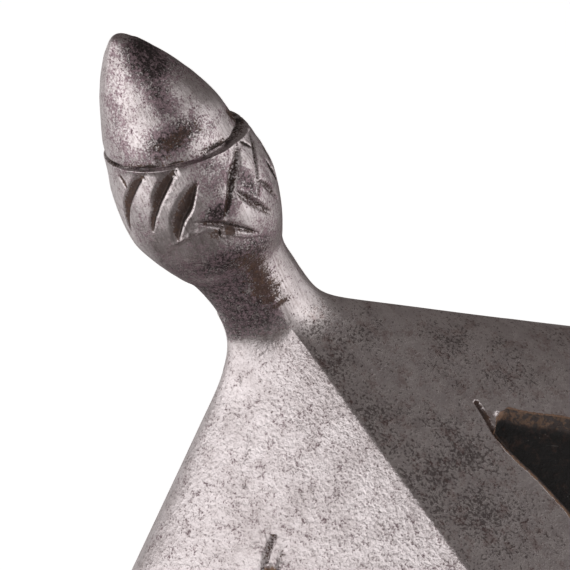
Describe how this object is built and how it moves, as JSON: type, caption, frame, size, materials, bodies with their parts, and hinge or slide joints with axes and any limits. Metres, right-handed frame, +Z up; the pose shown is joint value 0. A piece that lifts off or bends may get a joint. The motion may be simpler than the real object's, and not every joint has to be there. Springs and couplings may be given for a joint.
{
  "type": "burgonet helmet",
  "caption": "Ridged steel helmet with an acorn finial, sunk black fields, a peak, a flared neck guard and hinged cheekpieces.",
  "frame": {"origin": "on the floor, under the middle of the helmet's box", "axes": "+Z up, -Y the way the face looks, +X the wearer's left"},
  "size_m": [0.2124, 0.3268, 0.2689],
  "materials": {
    "skull_steel": "worn, finely pitted wrought steel",
    "plate_steel": "worn, pitted wrought steel",
    "hinge_steel": "dark patinated steel",
    "rivet_steel": "dark patinated steel"
  },
  "bodies": {
    "helmet": {"skull": "skull_steel", "peak": "plate_steel", "neck_guard": "plate_steel", "hinge_upper_left": "hinge_steel", "hinge_upper_right": "hinge_steel", "hinge_pin_left": "hinge_steel", "hinge_pin_right": "hinge_steel", "rivet_peak_1": "rivet_steel", "rivet_peak_2": "rivet_steel", "rivet_peak_3": "rivet_steel", "rivet_peak_4": "rivet_steel", "rivet_peak_5": "rivet_steel", "rivet_neck_1": "rivet_steel", "rivet_neck_2": "rivet_steel", "rivet_neck_3": "rivet_steel", "rivet_neck_4": "rivet_steel", "rivet_neck_5": "rivet_steel", "rivet_hinge_left_1": "rivet_steel", "rivet_hinge_left_2": "rivet_steel", "rivet_hinge_right_1": "rivet_steel", "rivet_hinge_right_2": "rivet_steel"},
    "cheek_left": {"cheekpiece_left": "plate_steel", "hinge_lower_left": "hinge_steel", "rivet_cheek_left_1": "rivet_steel", "rivet_cheek_left_2": "rivet_steel"},
    "cheek_right": {"cheekpiece_right": "plate_steel", "hinge_lower_right": "hinge_steel", "rivet_cheek_right_1": "rivet_steel", "rivet_cheek_right_2": "rivet_steel"}
  },
  "joints": [
    {"name": "cheek_hinge_left", "type": "hinge", "parent": "helmet", "child": "cheek_left", "pos_m": [0.1003, -0.004, 0.1], "axis": [0, -1, 0], "range_deg": [0, 80]},
    {"name": "cheek_hinge_right", "type": "hinge", "parent": "helmet", "child": "cheek_right", "pos_m": [-0.1003, -0.004, 0.1], "axis": [0, 1, 0], "range_deg": [0, 80]}
  ]
}
